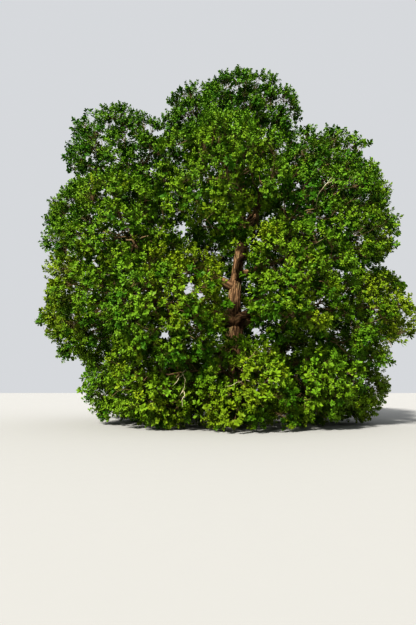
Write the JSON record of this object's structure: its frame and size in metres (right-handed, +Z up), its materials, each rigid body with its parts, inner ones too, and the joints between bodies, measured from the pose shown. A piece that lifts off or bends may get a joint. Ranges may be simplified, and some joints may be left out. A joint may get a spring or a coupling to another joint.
{
  "type": "oak tree",
  "caption": "Whole old field-grown oak in full early summer leaf: flared trunk, heavy spreading boughs and a broad domed crown of foliage masses down to the ground.",
  "frame": {"origin": "middle of the flat cut under the trunk, at ground level", "axes": "+Z up; the picture looks along +Y, slightly upwards, with +X to its right"},
  "size_m": [20.5823, 18.9174, 20.368],
  "materials": {
    "bark": "fissured grey-brown bark",
    "foliage": "leaves, half matt"
  },
  "bodies": {
    "root": {"low_bough_1": "bark", "low_bough_2": "bark", "low_bough_3": "bark", "low_bough_4": "bark", "low_bough_5": "bark", "middle_bough_1": "bark", "middle_bough_2": "bark", "middle_bough_3": "bark", "middle_bough_4": "bark", "skirt_bough_1": "bark", "skirt_bough_2": "bark", "skirt_bough_3": "bark", "skirt_bough_4": "bark", "skirt_bough_5": "bark", "top_bough_2": "bark", "trunk": "bark", "upper_bough_1": "bark", "upper_bough_2": "bark", "upper_bough_3": "bark", "low_mass_1": "foliage", "low_mass_10": "foliage", "low_mass_2": "foliage", "low_mass_3": "foliage", "low_mass_4": "foliage", "low_mass_5": "foliage", "low_mass_6": "foliage", "low_mass_7": "foliage", "low_mass_8": "foliage", "low_mass_9": "foliage", "middle_mass_1": "foliage", "middle_mass_2": "foliage", "middle_mass_3": "foliage", "middle_mass_4": "foliage", "middle_mass_5": "foliage", "middle_mass_6": "foliage", "middle_mass_7": "foliage", "middle_mass_8": "foliage", "skirt_mass_1": "foliage", "skirt_mass_10": "foliage", "skirt_mass_2": "foliage", "skirt_mass_3": "foliage", "skirt_mass_4": "foliage", "skirt_mass_5": "foliage", "skirt_mass_6": "foliage", "skirt_mass_7": "foliage", "skirt_mass_8": "foliage", "skirt_mass_9": "foliage", "top_mass_1": "foliage", "top_mass_2": "foliage", "top_mass_3": "foliage", "top_mass_4": "foliage", "upper_mass_1": "foliage", "upper_mass_2": "foliage", "upper_mass_3": "foliage", "upper_mass_4": "foliage", "upper_mass_5": "foliage", "upper_mass_6": "foliage"}
  },
  "joints": []
}
